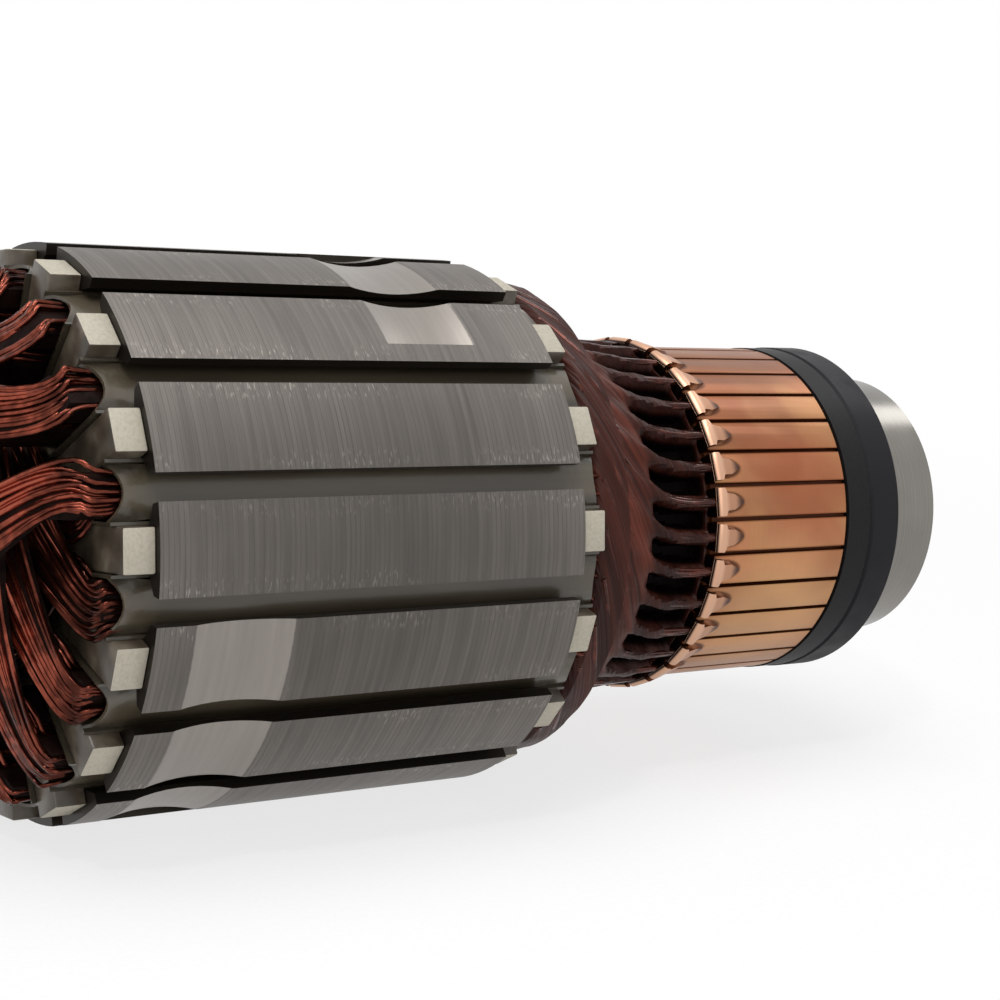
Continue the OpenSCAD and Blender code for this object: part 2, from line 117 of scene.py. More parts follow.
# A lead's sweep over the winding, as the solids have it
OVERHANG = 13.2 * MM
LEAD_X0, LEAD_X1 = CORE_X1 + CUFF + 0.8 * MM, CORE_X1 + OVERHANG - 0.6 * MM
LEAD_SWEEP = math.radians(52)
LEAD_LAG = math.radians(10)
LEAD_TWIST = LEAD_SWEEP / (LEAD_X1 - LEAD_X0)
# Height of the leads over the commutator's track, past the winding and in the hooks
LEAD_LIFT = 0.45 * MM
HOOK_LIFT = 0.2 * MM
# The varnish band: its height over the middle of the leads, the floor of its pits behind the hooks,
# and the crests over the leads, which sink towards the hooks
BAND_LIFT = 0.26 * MM
PIT_R = 16.8 * MM
CREST_R = (19.3 * MM, 18.85 * MM)


# ---- Small sums ----


def mix(a, b, t):
    """The value at a share t of the way from a to b."""
    return a + (b - a) * t


def clamped(t):
    """A share kept between 0 and 1."""
    return max(0.0, min(1.0, t))


def eased(t):
    """A share from 0 to 1 that starts and ends slowly."""
    return t * t * (3 - 2 * t)


def polar(x, radius, angle):
    """The point at a station, a radius and an angle."""
    return Vector((x, radius * math.cos(angle), radius * math.sin(angle)))


# ---- Colours and nodes ----


def linear(hex_colour):
    """sRGB hex to a linear RGBA colour."""
    channels = [int(hex_colour[i : i + 2], 16) / 255 for i in (1, 3, 5)]
    return [c / 12.92 if c <= 0.04045 else ((c + 0.055) / 1.055) ** 2.4 for c in channels] + [1.0]


def shade(colour, factor):
    """A linear colour made lighter or darker."""
    return [min(1.0, c * factor) for c in colour[:3]] + [1.0]


def add_node(tree, kind, inputs=None, out=0, stops=None, **settings):
    """Adds one shader node with its settings and links, and returns one of its outputs.

    An input is a number, a vector, a colour or another node's output. The stops of a colour ramp
    are pairs of a position and a colour.
    """
    node = tree.nodes.new("ShaderNode" + kind)
    for name, value in settings.items():
        setattr(node, name, value)
    for socket, value in (inputs or {}).items():
        if isinstance(value, bpy.types.NodeSocket):
            tree.links.new(value, node.inputs[socket])
        else:
            node.inputs[socket].default_value = value
    if stops:
        elements = node.color_ramp.elements
        while len(elements) < len(stops):
            elements.new(1.0)
        for element, (position, colour) in zip(elements, stops):
            element.position, element.color = position, colour
    return node.outputs[out] if node.outputs else None


# Settings of a Map Range that eases in and out, and of a Mix of colours, which is output 2
SMOOTH = {"interpolation_type": "SMOOTHSTEP"}
TINT = {"out": 2, "data_type": "RGBA"}


def new_material(name):
    """An empty node material, and the function that adds nodes to it."""
    material = bpy.data.materials.new(name)
    material.use_nodes = True
    material.node_tree.nodes.clear()
    return material, partial(add_node, material.node_tree)


def surfaced(material, add, colour, roughness, bump, more=None):
    """Ends a material with its surface, and returns it. more holds inputs that few of them set."""
    inputs = {"Base Color": colour, "Roughness": roughness, "Normal": bump, **(more or {})}
    add("OutputMaterial", {"Surface": add("BsdfPrincipled", inputs)})
    return material


def round_the_shaft(add):
    """The shaded point, its station, radius and angle, and how far its face looks outwards."""
    seen = add("TexCoord").node
    point, normal = seen.outputs["Object"], seen.outputs["Normal"]
    x, y, z = add("SeparateXYZ", {0: point}).node.outputs
    flat = add("CombineXYZ", {1: y, 2: z})
    radius = add("VectorMath", {0: flat}, out="Value", operation="LENGTH")
    angle = add("Math", {0: z, 1: y}, operation="ARCTAN2")
    outwards = add("VectorMath", {0: flat}, operation="NORMALIZE")
    facing = add("VectorMath", {0: outwards, 1: normal}, out="Value", operation="DOT_PRODUCT")
    return point, x, radius, angle, facing


def seen_directly(add):
    """1 for rays from the camera, and for those mirrored or let through on their way to it."""
    path = add("LightPath").node.outputs
    seen = add("Math", {0: path["Is Camera Ray"], 1: path["Is Glossy Ray"]}, operation="MAXIMUM")
    return add("Math", {0: seen, 1: path["Is Transmission Ray"]}, operation="MAXIMUM")


# ---- Materials ----


def lamination_steel(steel):
    """Silicon steel sheets of 0.5 mm, turned on their edges: satin, with a hairline between every
    two, short burrs with painted highlights along the tooth's edges, painted shade on the side that
    faces the camera, and smoother milled balancing cuts."""
    material, add = new_material("turned silicon steel laminations")
    point, x, radius, angle, facing = round_the_shaft(add)
    sheet = add("Math", {0: x, 1: SHEET}, operation="DIVIDE")
    seam = add("Math", {0: sheet, 1: 0.5}, operation="PINGPONG")
    line = add("MapRange", {0: seam, 1: 0.17, 2: 0.02}, **SMOOTH)
    own = add("TexWhiteNoise", {"W": add("Math", {0: sheet}, operation="FLOOR")}, noise_dimensions="1D")
    # Turning left streaks of 0.6 by 11 mm round the core, and rubbing left clouds of 12.5 mm
    wide = add("VectorMath", {0: point, 1: (1600.0, 90.0, 90.0)}, operation="MULTIPLY")
    streak = add("TexNoise", {"Vector": wide, "Scale": 1.0, "Detail": 3.0})
    cloud = add("TexNoise", {"Vector": point, "Scale": 1 / (12.5 * MM), "Detail": 2.0})
    tone = add("Math", {0: streak, 1: 0.45}, operation="MULTIPLY")
    tone = add("Math", {0: cloud, 1: 0.4, 2: tone}, operation="MULTIPLY_ADD")
    tone = add("Math", {0: own, 1: 0.15, 2: tone}, operation="MULTIPLY_ADD")
    stops = [(0.3, shade(steel, 0.72)), (0.5, steel), (0.72, shade(steel, 1.3))]
    turned = add("ValToRGB", {0: tone}, stops=stops)
    uneven = add("Math", {0: cloud, 1: own}, operation="MULTIPLY")
    hairline = add("Math", {0: line, 1: uneven}, operation="MULTIPLY")
    turned = add("Mix", {0: hairline, 6: turned, 7: shade(steel, 0.42)}, **TINT)
    # Burrs, with painted highlights: bright ticks of 0.2 by 0.9 mm on some sheets, only within 2 mm of
    # the tooth's edges
    step = add("Math", {0: angle, 1: SLOT_STEP}, operation="DIVIDE")
    tooth = add("Math", {0: step, 1: 0.5}, operation="PINGPONG")
    edge = add("MapRange", {0: tooth, 1: 0.33, 2: 0.19}, **SMOOTH)
    along = add("Math", {0: sheet, 1: 2.4}, operation="MULTIPLY")
    burr_at = add("CombineXYZ", {0: along, 1: add("Math", {0: angle, 1: 30.0}, operation="MULTIPLY")})
    burr_glint = add("TexNoise", {"Vector": burr_at, "Scale": 1.0, "Detail": 1.0})
    burr_glint = add("MapRange", {0: burr_glint, 1: 0.56, 2: 0.7}, **SMOOTH)
    patchy = add("MapRange", {0: cloud, 1: 0.42, 2: 0.6}, **SMOOTH)
    burr_glint = add("Math", {0: burr_glint, 1: edge}, operation="MULTIPLY")
    burr_glint = add("Math", {0: burr_glint, 1: patchy}, operation="MULTIPLY")
    turned = add("Mix", {0: burr_glint, 6: turned, 7: shade(steel, 2.0)}, **TINT)
    # Painted shade: the side that faces the camera is darker, as the light comes from above
    front_shade_middle = polar(CORE_MIDDLE, CORE_R, math.radians(169))
    away = add("VectorMath", {0: point, 1: front_shade_middle}, out="Value", operation="DISTANCE")
    front_shade = add("MapRange", {0: away, 1: 26.0 * MM, 2: 4.0 * MM, 4: 0.5})
    turned = add("Mix", {0: front_shade, 6: turned, 7: shade(steel, 0.42)}, **TINT)
    # The balancing cuts go below the turned surface, and slot walls and end faces are varnished, and
    # darkened further with painted shade
    cut = add("MapRange", {0: radius, 1: CORE_R - 0.035 * MM, 2: CORE_R - 0.09 * MM}, **SMOOTH)
    milled = add("Mix", {0: streak, 6: shade(steel, 1.5), 7: shade(steel, 2.1)}, **TINT)
    face = add("Mix", {0: cut, 6: turned, 7: milled}, **TINT)
    outside = add("MapRange", {0: facing, 1: 0.75, 2: 0.88}, **SMOOTH)
    colour = add("Mix", {0: outside, 6: linear("#2e2923"), 7: face}, **TINT)
    rough = add("MapRange", {0: cut, 3: 0.5, 4: 0.38})
    uncut = add("Math", {0: 1.0, 1: cut}, operation="SUBTRACT")
    depth = add("Math", {0: line, 1: outside}, operation="MULTIPLY")
    depth = add("Math", {0: depth, 1: uncut}, operation="MULTIPLY")
    bump = add("Bump", {"Height": depth, "Strength": 0.5, "Distance": 0.02 * MM}, invert=True)
    return surfaced(material, add, colour, rough, bump, {"Metallic": 0.8})


def insulating_moulding(cream):
    """Glass-filled polyester, moulded: matt cream where it was wiped clean on the outside, and
    khaki and half-glossy where the impregnating varnish was left on its other faces, which are
    darkened further with painted shade."""
    material, add = new_material("moulded polyester end insulation")
    point, _, radius, _, facing = round_the_shaft(add)
    # Fillers show as specks of about 0.3 mm, varnish as clouds of about 3 mm
    speck = add("TexNoise", {"Vector": point, "Scale": 1 / (0.3 * MM), "Detail": 3.0})
    cloud = add("TexNoise", {"Vector": point, "Scale": 1 / (3.0 * MM), "Detail": 4.0})
    stops = [(0.3, shade(cream, 0.86)), (0.55, cream), (0.8, shade(cream, 1.06))]
    clean = add("ValToRGB", {0: speck}, stops=stops)
    # The faces that don't look outwards: varnish stains, darkened with painted shade
    stops = [(0.3, linear("#30291f")), (0.52, linear("#4b4237")), (0.75, linear("#6d6557"))]
    stained_and_shaded = add("ValToRGB", {0: cloud}, stops=stops)
    top = add("MapRange", {0: facing, 1: 0.72, 2: 0.9}, **SMOOTH)
    outer = add("MapRange", {0: radius, 1: BLOCK_R - 0.5 * MM, 2: BLOCK_R - 0.3 * MM}, **SMOOTH)
    wiped = add("Math", {0: top, 1: outer}, operation="MULTIPLY")
    colour = add("Mix", {0: wiped, 6: stained_and_shaded, 7: clean}, **TINT)
    rough = add("MapRange", {0: wiped, 3: 0.3, 4: 0.62})
    bump = add("Bump", {"Height": cloud, "Strength": 0.25, "Distance": 0.12 * MM})
    return surfaced(material, add, colour, rough, bump)


def slot_film(khaki):
    """Polyester film laminate under dried varnish: khaki, smooth along the slot, with wet-looking
    ripples and small runs at its free ends."""
    material, add = new_material("varnished polyester slot film")
    point, x, _, angle, _ = round_the_shaft(add)
    # Streaks are 20 mm long and 3 mm wide
    long = add("VectorMath", {0: point, 1: (50.0, 350.0, 350.0)}, operation="MULTIPLY")
    streak = add("TexNoise", {"Vector": long, "Scale": 1.0, "Detail": 3.0})
    ripple = add("TexNoise", {"Vector": point, "Scale": 1 / (1.6 * MM), "Detail": 3.0})
    stops = [(0.3, shade(khaki, 0.75)), (0.5, khaki), (0.75, shade(khaki, 1.3))]
    colour = add("ValToRGB", {0: streak}, stops=stops)
    # Beside the slot's mouth the film lies in the shade of the tooth tips and holds dark varnish
    step = add("Math", {0: angle, 1: SLOT_STEP}, operation="DIVIDE")
    slot = add("Math", {0: step, 1: 0.5}, operation="PINGPONG")
    side = add("MapRange", {0: slot, 1: 0.11, 2: 0.2, 4: 0.55}, **SMOOTH)
    colour = add("Mix", {0: side, 6: colour, 7: linear("#2a251c")}, **TINT)
    before = add("Math", {0: x, 1: CORE_X0}, operation="LESS_THAN")
    past = add("Math", {0: x, 1: CORE_X1}, operation="GREATER_THAN")
    beyond = add("Math", {0: before, 1: past})
    strength = add("MapRange", {0: beyond, 3: 0.1, 4: 0.6})
    bump = add("Bump", {"Height": ripple, "Strength": strength, "Distance": 0.25 * MM})
    return surfaced(material, add, colour, 0.34, bump, {"Coat Weight": 0.4, "Coat Roughness": 0.12})


def enamelled_wire(name, enamel, metal):
    """Copper wire in polyesterimide enamel under cured varnish: red-brown and wet-looking, with
    narrow glints, darker stretches where varnish pooled, and painted shade far into the head and
    where the wires leave the slots."""
    material, add = new_material(name)
    point, x, radius, *_ = round_the_shaft(add)
    # Varnish pools over about 4 mm, and dulls single wires over about 1 mm
    pool = add("TexNoise", {"Vector": point, "Scale": 1 / (4.0 * MM), "Detail": 3.0})
    fleck = add("TexNoise", {"Vector": point, "Scale": 1 / (1.0 * MM), "Detail": 2.0})
    tone = add("Mix", {0: 0.25, 2: pool, 3: fleck})
    stops = [(0.36, shade(enamel, 0.4)), (0.5, enamel), (0.62, shade(enamel, 2.4))]
    colour = add("ValToRGB", {0: tone}, stops=stops)
    # Painted shade: wires are darker far into the head, near the shaft, and where they leave the slots
    deep_shade = add("MapRange", {0: radius, 1: 20.0 * MM, 2: 12.0 * MM, 4: 0.35})
    slot_mouth_shade = add("MapRange", {0: x, 1: CORE_X0 - 8.0 * MM, 2: CORE_X0 - 3.0 * MM, 4: 0.7}, **SMOOTH)
    shade_mask = add("Math", {0: deep_shade, 1: slot_mouth_shade}, operation="MAXIMUM")
    colour = add("Mix", {0: shade_mask, 6: colour, 7: shade(enamel, 0.15)}, **TINT)
    bump = add("Bump", {"Height": fleck, "Strength": 0.2, "Distance": 0.05 * MM})
    return surfaced(material, add, colour, 0.2, bump, {"Metallic": metal})


def impregnating_varnish(varnish):
    """Alkyd varnish baked on the coils: nearly black where it is thick, with lumps and wet glints."""
    material, add = new_material("baked impregnating varnish")
    point = add("TexCoord", out="Object")
    lump = add("TexNoise", {"Vector": point, "Scale": 1 / (1.4 * MM), "Detail": 3.0})
    colour = add("ValToRGB", {0: lump}, stops=[(0.35, shade(varnish, 0.5)), (0.7, shade(varnish, 1.6))])
    bump = add("Bump", {"Height": lump, "Strength": 0.6, "Distance": 0.3 * MM})
    return surfaced(material, add, colour, 0.4, bump, {"Specular IOR Level": 0.04})


def lead_band_varnish(enamel, varnish):
    """Leads laid side by side and flooded with varnish: a smooth brown band with faint ridges that
    follow the leads, with painted shade at its edge by the insulator and, nearly black, where it dips
    into the pits towards the hooks."""
    material, add = new_material("varnish over the lead band")
    point, x, radius, *_ = round_the_shaft(add)
    # Turning each point back by the leads' twist makes the pattern follow them
    twist = add("Math", {0: x, 1: -LEAD_TWIST}, operation="MULTIPLY")
    along = add("VectorRotate", {"Vector": point, "Angle": twist}, rotation_type="X_AXIS")
    along = add("VectorMath", {0: along, 1: (0.08, 1.0, 1.0)}, operation="MULTIPLY")
    # Ridges of one wire, about 0.9 mm apart, and tones that spread over three or four of them
    ridge = add("TexNoise", {"Vector": along, "Scale": 1 / (0.9 * MM), "Detail": 1.0})
    sweep = add("TexNoise", {"Vector": along, "Scale": 1 / (3.5 * MM), "Detail": 2.0})
    tone = add("Mix", {0: 0.35, 2: sweep, 3: ridge})
    stops = [(0.34, shade(enamel, 0.2)), (0.48, shade(enamel, 0.42)), (0.64, shade(enamel, 0.85))]
    brown = add("ValToRGB", {0: tone}, stops=stops)
    # Painted shade: it is darker against the insulator, where it turns into the gap, and on the way down
    # into the pits
    edge = add("MapRange", {0: x, 1: LEAD_X0 + 4.2 * MM, 2: LEAD_X0 + 2.2 * MM, 4: 0.6}, **SMOOTH)
    thick = add("MapRange", {0: x, 1: LEAD_X1 + 1.2 * MM, 2: LEAD_X1 + 3.0 * MM, 4: 0.75}, **SMOOTH)
    shade_mask = add("Math", {0: edge, 1: thick}, operation="MAXIMUM")
    colour = add("Mix", {0: shade_mask, 6: brown, 7: shade(enamel, 0.1)}, **TINT)
    # Painted shade: the pits between the leads are nearly black, and reflect little
    pit_shade = add("MapRange", {0: radius, 1: TRACK_R + 0.2 * MM, 2: TRACK_R - 0.7 * MM}, **SMOOTH)
    colour = add("Mix", {0: pit_shade, 6: colour, 7: shade(varnish, 0.3)}, **TINT)
    height = add("Math", {0: ridge, 1: sweep})
    bump = add("Bump", {"Height": height, "Strength": 0.5, "Distance": 0.25 * MM})
    gleam = add("MapRange", {0: pit_shade, 3: 0.14, 4: 0.02})
    return surfaced(material, add, colour, 0.42, bump, {"Specular IOR Level": gleam})


def commutator_copper(copper):
    """Silver-bearing copper, hard-drawn and then turned: satin, pinker and yellower from bar to bar,
    with fine rings, slot walls and pits in painted shade, a painted reflection and painted shade on
    the track, and hooks that fusing browned to their tips, with painted light and shade along them."""
    material, add = new_material("turned commutator copper")
    point, x, radius, angle, facing = round_the_shaft(add)
    # Turning rings are 0.1 mm apart, drawn here at 0.35 mm so that they show
    turns = add("Math", {0: x, 1: 0.35 * MM}, operation="DIVIDE")
    ring = add("TexNoise", {"W": turns, "Scale": 1.0, "Detail": 3.0}, noise_dimensions="1D")
    cloud = add("TexNoise", {"Vector": point, "Scale": 1 / (7.0 * MM), "Detail": 2.0})
    # Redder and yellower areas are 9 mm wide, and are read elsewhere in the noise than the clouds
    elsewhere = add("VectorMath", {0: point, 1: (0.3, 0.2, 0.1)})
    warm = add("TexNoise", {"Vector": elsewhere, "Scale": 1 / (9.0 * MM), "Detail": 1.0})
    step = add("Math", {0: angle, 1: BAR_STEP}, operation="DIVIDE")
    bar = add("TexWhiteNoise", {"W": add("Math", {0: step}, operation="FLOOR")}, noise_dimensions="1D")
    tone = add("Mix", {0: 0.3, 2: cloud, 3: bar})
    stops = [(0.3, shade(copper, 0.74)), (0.5, copper), (0.72, shade(copper, 1.28))]
    track = add("ValToRGB", {0: tone}, stops=stops)
    redder = add("MapRange", {0: warm, 1: 0.52, 2: 0.68, 4: 0.55}, **SMOOTH)
    track = add("Mix", {0: redder, 6: track, 7: linear("#97563a")}, **TINT)
    yellower = add("MapRange", {0: warm, 1: 0.46, 2: 0.34, 4: 0.5}, **SMOOTH)
    track = add("Mix", {0: yellower, 6: track, 7: linear("#be8f5e")}, **TINT)
    groove = add("Math", {0: ring, 1: 0.25}, operation="MULTIPLY")
    track = add("Mix", {0: groove, 6: track, 7: shade(copper, 0.6)}, **TINT)
    # The bars' edges along the slots are browner: brown varnish wetted them, and painted shade darkens
    # their rounded edges
    across = add("Math", {0: step, 1: 0.5}, operation="PINGPONG")
    side = add("MapRange", {0: across, 1: 0.115, 2: 0.075, 4: 0.65}, **SMOOTH)
    track = add("Mix", {0: side, 6: track, 7: linear("#6b3a1c")}, **TINT)
    # Three patches on the track: on the side that faces the camera it is redder, lower down it is
    # paler, a painted reflection of the white floor, and on top it is browner, painted shade. Each has
    # a station and an angle, the distances in mm where it starts and is full, its strength and its
    # colour
    for station, degrees, start, full, strength, tint in (
        (-18.0, 157, 9.0, 3.0, 0.6, "#9a5638"),
        # Painted reflection of the white floor on the lower bars
        (-21.0, 208, 13.0, 4.0, 0.6, "#cfa070"),
        # Painted shade on the top bars
        (-22.0, 96, 14.0, 6.0, 0.65, "#7a4a2e"),
    ):
        centre = polar(station * MM, TRACK_R, math.radians(degrees))
        away = add("VectorMath", {0: point, 1: centre}, out="Value", operation="DISTANCE")
        patch = add("MapRange", {0: away, 1: start * MM, 2: full * MM, 4: strength}, **SMOOTH)
        track = add("Mix", {0: patch, 6: track, 7: linear(tint)}, **TINT)
    # Varnish and soot lie in the crevice round each hook's tip, and its shadow is painted in with them
    off = add("Math", {0: add("Math", {0: step}, operation="FRACT"), 1: 0.5}, operation="SUBTRACT")
    off = add("Math", {0: off, 1: BAR_STEP * TRACK_R / (0.95 * MM)}, operation="MULTIPLY")
    ahead = add("Math", {0: x, 1: BAR_X0 + 1.9 * MM}, operation="SUBTRACT")
    ahead = add("Math", {0: ahead, 1: 2.0 * MM}, operation="DIVIDE")
    oval = add("VectorMath", {0: add("CombineXYZ", {0: ahead, 1: off})}, out="Value", operation="LENGTH")
    soot_and_shadow = add("MapRange", {0: oval, 1: 1.34, 2: 1.04, 4: 0.9}, **SMOOTH)
    track = add("Mix", {0: soot_and_shadow, 6: track, 7: linear("#54301c")}, **TINT)
    # A hook, in painted light and shade: bright at its bend, which faces the light, browner along its
    # lobe, which slopes away from it, and dark at its tip, which fusing also browned
    lobe = add("MapRange", {0: x, 1: BAR_X0 + 0.9 * MM, 2: BAR_X0 + 1.7 * MM, 4: 0.7}, **SMOOTH)
    hook = add("Mix", {0: lobe, 6: linear("#d0a488"), 7: linear("#a87554")}, **TINT)
    tip = add("MapRange", {0: x, 1: BAR_X0 + 2.4 * MM, 2: BAR_X0 + 3.7 * MM}, **SMOOTH)
    hook = add("Mix", {0: tip, 6: hook, 7: linear("#4a2a1c")}, **TINT)
    raised = add("MapRange", {0: radius, 1: TRACK_R + 0.04 * MM, 2: TRACK_R + 0.12 * MM}, **SMOOTH)
    colour = add("Mix", {0: raised, 6: track, 7: hook}, **TINT)
    outside = add("MapRange", {0: facing, 1: 0.45, 2: 0.75}, **SMOOTH)
    # Faces that don't look outwards are dark brown, and near black at the backs of the bars by the pits:
    # varnish, with painted shade of the slots and the pits
    back = add("MapRange", {0: x, 1: BAR_X0 + 0.1 * MM, 2: BAR_X0 + 0.9 * MM}, **SMOOTH)
    wall_varnish_and_shade = add("Mix", {0: back, 6: linear("#1c0e0a"), 7: linear("#6b3a1c")}, **TINT)
    colour = add("Mix", {0: outside, 6: wall_varnish_and_shade, 7: colour}, **TINT)
    bump = add("Bump", {"Height": ring, "Strength": 0.2, "Distance": 0.02 * MM})
    return surfaced(material, add, colour, 0.42, bump, {"Metallic": 0.85})


def commutator_moulding(black):
    """Mineral-filled phenolic, moulded and turned with the bars: black and satin, with brown
    varnish and copper dust where it shows between the bars, and painted shade, near black, in the
    pits behind the hooks."""
    material, add = new_material("phenolic commutator moulding")
    point, x, *_ = round_the_shaft(add)
    grain = add("TexNoise", {"Vector": point, "Scale": 1 / (0.35 * MM), "Detail": 3.0})
    colour = add("ValToRGB", {0: grain}, stops=[(0.3, shade(black, 0.8)), (0.75, shade(black, 1.35))])
    past = add("Math", {0: x, 1: BAR_X0}, operation="GREATER_THAN")
    before = add("Math", {0: x, 1: BAR_X1}, operation="LESS_THAN")
    between = add("Math", {0: past, 1: before}, operation="MULTIPLY")
    colour = add("Mix", {0: between, 6: colour, 7: linear("#5f331a")}, **TINT)
    # Painted shade: before the bars, in the pits behind the hooks, the moulding is near black
    colour = add("Mix", {0: past, 6: linear("#060403"), 7: colour}, **TINT)
    bump = add("Bump", {"Height": grain, "Strength": 0.15, "Distance": 0.02 * MM})
    return surfaced(material, add, colour, 0.5, bump, {"Specular IOR Level": 0.14})


def turned_steel(name, colour, roughness, mark_mm):
    """Turned or ground steel: bright grey with rings round the shaft as far apart as the tool's
    feed, and faint clouds where it was handled."""
    material, add = new_material(name)
    point, x, radius, *_ = round_the_shaft(add)
    turns = add("Math", {0: add("Math", {0: x, 1: radius}), 1: mark_mm * MM}, operation="DIVIDE")
    ring = add("TexNoise", {"W": turns, "Scale": 1.0, "Detail": 2.0}, noise_dimensions="1D")
    cloud = add("TexNoise", {"Vector": point, "Scale": 1 / (6.0 * MM), "Detail": 3.0})
    tone = add("Mix", {0: 0.5, 2: cloud, 3: ring})
    steel = add("ValToRGB", {0: tone}, stops=[(0.3, shade(colour, 0.85)), (0.7, shade(colour, 1.15))])
    rough = add("MapRange", {0: cloud, 1: 0.3, 2: 0.7, 3: roughness * 0.85, 4: roughness * 1.15})
    bump = add("Bump", {"Height": ring, "Strength": 0.15, "Distance": 0.01 * MM})
    return surfaced(material, add, steel, rough, bump, {"Metallic": 1.0})


def moulded_plastic(name, colour, roughness, gleam):
    """Filled nylon, moulded: even and satin, with a faint grain and slight scuffs that catch light."""
    material, add = new_material(name)
    point = add("TexCoord", out="Object")
    grain = add("TexNoise", {"Vector": point, "Scale": 1 / (0.3 * MM), "Detail": 2.0})
    scuff = add("TexNoise", {"Vector": point, "Scale": 1 / (4.0 * MM), "Detail": 4.0})
    tone = add("Mix", {0: 0.4, 2: scuff, 3: grain})
    plastic = add("ValToRGB", {0: tone}, stops=[(0.3, shade(colour, 0.85)), (0.7, shade(colour, 1.2))])
    rough = add("MapRange", {0: scuff, 1: 0.35, 2: 0.65, 3: roughness - 0.06, 4: roughness + 0.08})
    bump = add("Bump", {"Height": grain, "Strength": 0.12, "Distance": 0.02 * MM})
    return surfaced(material, add, plastic, rough, bump, {"Specular IOR Level": gleam})


def white_card():
    """White card: matt, with the object's soft shadow near it and plain white further out."""
    material, add = new_material("white card floor")
    point = add("TexCoord", out="Object")
    x, y, _ = add("SeparateXYZ", {0: point}).node.outputs
    # From 0.10 to 0.34 m off the core, the shadow fades into plain white
    flat = add("CombineXYZ", {0: add("Math", {0: x, 1: 0.07}), 1: y})
    away = add("VectorMath", {0: flat}, out="Value", operation="LENGTH")
    fade = add("MapRange", {0: away, 1: 0.10, 2: 0.34, 3: 0.75, 4: 1.0}, **SMOOTH)
    share = add("Math", {0: seen_directly(add), 1: fade}, operation="MULTIPLY")
    fibre = add("TexNoise", {"Vector": point, "Scale": 1 / (0.6 * MM), "Detail": 2.0})
    colour = add("ValToRGB", {0: fibre}, stops=[(0.3, linear("#ececec")), (0.7, linear("#f4f4f4"))])
    card = add("BsdfPrincipled", {"Base Color": colour, "Roughness": 0.95, "Specular IOR Level": 0.0})
    glow = add("Emission", {"Color": linear("#ffffff"), "Strength": 1.0})
    add("OutputMaterial", {0: add("MixShader", {0: share, 1: card, 2: glow})})
    return material


# ---- Making pieces ----


def paint(material, *names):
    """Gives CAD nodes a material."""
    for name in names:
        data = NODES[name].data
        data.materials.clear()
        data.materials.append(material)


def finish_piece(name, mesh, material, replaced=(), sharp_deg=SHARP_DEG):
    """Links a finished bmesh as a piece that turns with the shaft."""
    sharp = math.radians(sharp_deg)
    for face in mesh.faces:
        face.smooth = True
    for edge in mesh.edges:
        edge.smooth = not (edge.is_manifold and edge.calc_face_angle(0.0) > sharp)
    data = bpy.data.meshes.new(name)
    mesh.to_mesh(data)
    mesh.free()
    data.materials.append(material)
    piece = bpy.data.objects.new(name, data)
    bpy.context.scene.collection.objects.link(piece)
    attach(piece, "root")
    if replaced:
        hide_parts(*replaced)


def dress(node, material, bevel, reshape=None):
    """A node's own shape with rounded edges, in its place. reshape may move its vertices first."""
    mesh = bmesh.new()
    mesh.from_mesh(NODES[node].data)
    for vertex in mesh.verts if reshape else ():
        vertex.co = reshape(vertex.co)
    bmesh.ops.remove_doubles(mesh, verts=mesh.verts, dist=WELD)
    bmesh.ops.dissolve_degenerate(mesh, edges=mesh.edges, dist=WELD)
    bmesh.ops.dissolve_limit(mesh, angle_limit=math.radians(0.5), verts=mesh.verts, edges=mesh.edges)
    sharp = math.radians(SHARP_DEG)
    edges = [e for e in mesh.edges if e.is_manifold and e.calc_face_angle(0.0) > sharp]
    bmesh.ops.bevel(
        mesh, geom=edges, offset=bevel, offset_type="OFFSET", segments=2, profile=0.5,
        affect="EDGES", material=-1, clamp_overlap=True,
    )
    finish_piece(node + "_finished", mesh, material, (node,))


def wires(name, paths, radius, material, replaced=()):
    """Round wires along lists of points, as one mesh piece."""
    curve = bpy.data.curves.new(name + "_lines", "CURVE")
    curve.dimensions = "3D"
    curve.bevel_depth = radius
    curve.bevel_resolution = 1
    curve.use_fill_caps = True
    for path in paths:
        spline = curve.splines.new("POLY")
        spline.points.add(len(path) - 1)
        for point, place in zip(spline.points, path):
            point.co = (*place, 1.0)
    lines = bpy.data.objects.new(name + "_lines", curve)
    bpy.context.scene.collection.objects.link(lines)
    data = bpy.data.meshes.new_from_object(lines.evaluated_get(bpy.context.evaluated_depsgraph_get()))
    bpy.data.objects.remove(lines)
    mesh = bmesh.new()
    mesh.from_mesh(data)
    bpy.data.meshes.remove(data)
    finish_piece(name, mesh, material, replaced, sharp_deg=60.0)


# ---- The winding's plan ----


def slot_half(s):
    """Half-width of a slot at a distance s from the axis."""
    return s * math.tan(SLOT_STEP / 2) - TOOTH_W / 2 / math.cos(SLOT_STEP / 2)


def on_head(end, y, z, depth):
    """A point at a depth past the core: the head is a cone, so it gets thinner out to its rim."""
    t = clamped((math.hypot(y, z) - FAN_R) / (UPPER_LEG[1] - FAN_R))
    rise = max(0.0, depth - CUFF)
    return Vector((end["x"] + end["side"] * (min(depth, CUFF) + rise * mix(1.0, end["rim"], t)), y, z))


